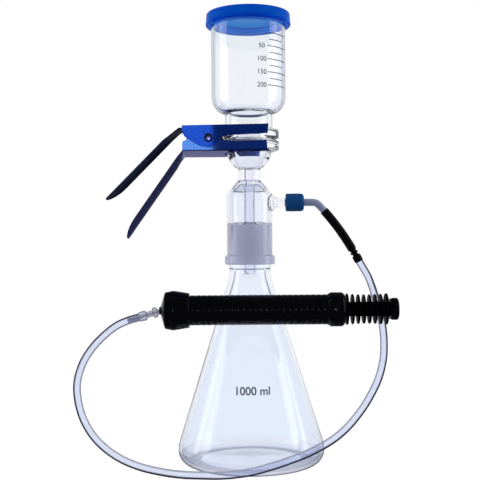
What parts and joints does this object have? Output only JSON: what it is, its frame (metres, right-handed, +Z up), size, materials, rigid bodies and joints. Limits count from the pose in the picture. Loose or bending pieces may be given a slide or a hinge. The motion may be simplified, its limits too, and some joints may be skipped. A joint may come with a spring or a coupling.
{
  "type": "vacuum filtration unit",
  "caption": "Glass vacuum filtration unit: ground-joint flask, filter base with side arm, clamped funnel with lid, and a hand vacuum pump on a clear hose.",
  "frame": {"origin": "centre of the flask's foot ring, on the surface the unit stands on", "axes": "+Z up along the axis of flask, filter base and funnel; +X towards the side arm; -Y towards the hand pump, which lies across the front; the clamp's handles are on the -X side"},
  "size_m": [0.2958, 0.1483, 0.43],
  "materials": {
    "flask_glass": "clear borosilicate glass with a cool tint, ground and frosted on the cone joint",
    "sintered_glass": "white sintered glass, opaque and matte",
    "membrane": "white membrane, matte",
    "scale_print": "dark enamel print, fired on",
    "blue_lid": "deep blue moulded plastic, glossy and slightly translucent",
    "blue_anodised": "blue anodised sheet, metallic with a fine satin grain",
    "steel": "bright turned steel",
    "petrol_blue_plastic": "petrol blue moulded plastic, semi-gloss",
    "red_silicone": "red-brown silicone, matte",
    "grey_clear_plastic": "smoky translucent plastic, glossy",
    "black_rubber": "black rubber, matte",
    "clear_tube": "clear flexible tubing with a faint lilac tint, glossy",
    "clear_plastic": "clear moulded plastic, glossy",
    "black_plastic": "black moulded plastic with a satin sheen",
    "grey_plastic": "grey moulded plastic, matte"
  },
  "bodies": {
    "stand": {"flask": "flask_glass", "filter_base": "flask_glass", "frit_disc": "sintered_glass", "membrane_filter": "membrane", "funnel": "flask_glass", "graduation_marks": "scale_print", "clamp_lower_lever": "blue_anodised", "clamp_pin": "steel", "pin_washers": "black_plastic", "clamp_spring": "steel", "cap_seal": "red_silicone", "elbow_nozzle": "grey_clear_plastic", "rubber_sleeve": "black_rubber", "hose_coupler": "black_plastic", "vacuum_hose": "clear_tube", "barb_connector": "clear_plastic", "luer_hub": "clear_plastic", "pump_nose_cap": "black_plastic", "inlet_valve": "red_silicone", "pump_barrel": "black_plastic", "pump_collar": "black_plastic", "rod_bush": "grey_plastic"},
    "lid": {"lid": "blue_lid"},
    "upper_lever": {"clamp_upper_lever": "blue_anodised"},
    "cap": {"screw_cap": "petrol_blue_plastic"},
    "plunger": {"piston_rod": "steel", "piston_head": "grey_plastic", "piston_seal": "black_rubber", "pump_grip": "black_plastic", "grip_knob": "black_plastic"}
  },
  "joints": [
    {"name": "lid_lift", "type": "slide", "parent": "stand", "child": "lid", "axis": [0, 0, 1], "range_m": [0, 0.04]},
    {"name": "clamp_open", "type": "hinge", "parent": "stand", "child": "upper_lever", "pos_m": [-0.0379, 0, 0.308], "axis": [0, -1, 0], "range_deg": [0, 14], "stiffness_Nm_per_rad": 0.8, "springref_deg": -57.3},
    {"name": "cap_turn", "type": "hinge", "parent": "stand", "child": "cap", "pos_m": [0.0435, 0, 0.2489], "axis": [1, 0, 0], "continuous": true},
    {"name": "pump_stroke", "type": "slide", "parent": "stand", "child": "plunger", "axis": [1, 0, 0], "range_m": [0, 0.13]}
  ]
}
